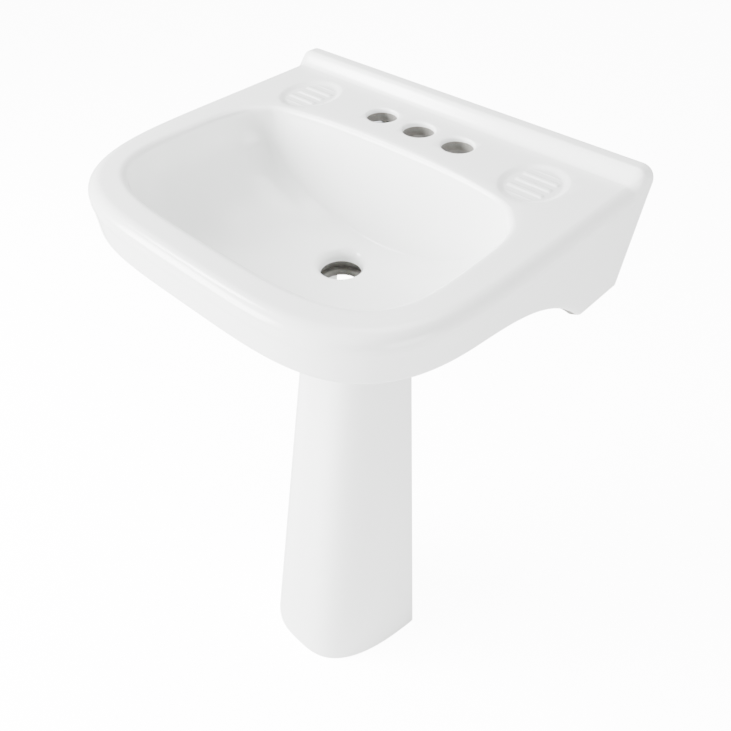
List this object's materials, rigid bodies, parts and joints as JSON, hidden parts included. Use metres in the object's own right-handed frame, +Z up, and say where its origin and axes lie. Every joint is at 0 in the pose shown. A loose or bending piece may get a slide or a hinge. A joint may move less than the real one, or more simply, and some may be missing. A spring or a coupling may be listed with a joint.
{
  "type": "pedestal sink",
  "caption": "Wall-backed ceramic wash basin with tap holes, a waste hole and soap dishes, carried by a hollow floor-standing ceramic column.",
  "frame": {"origin": "on the floor, at the middle of the whole object's width and depth", "axes": "+Z up, +Y towards the wall that the basin is bolted to, +X to the right of a person standing at the basin"},
  "size_m": [0.456, 0.444, 0.813],
  "materials": {
    "glazed_china": "gloss",
    "zinc_steel": "satin",
    "nylon": "matte",
    "pad_rubber": "matte"
  },
  "bodies": {
    "root": {"basin": "glazed_china", "pedestal": "glazed_china", "seat_pad_left_front": "pad_rubber", "seat_pad_right_front": "pad_rubber", "seat_pad_left_rear": "pad_rubber", "seat_pad_right_rear": "pad_rubber", "hanger_bolt_left": "zinc_steel", "hanger_bolt_right": "zinc_steel", "bolt_sleeve_left": "nylon", "bolt_sleeve_right": "nylon", "bolt_washer_left": "zinc_steel", "bolt_washer_right": "zinc_steel", "bolt_nut_left": "zinc_steel", "bolt_nut_right": "zinc_steel"}
  },
  "joints": []
}
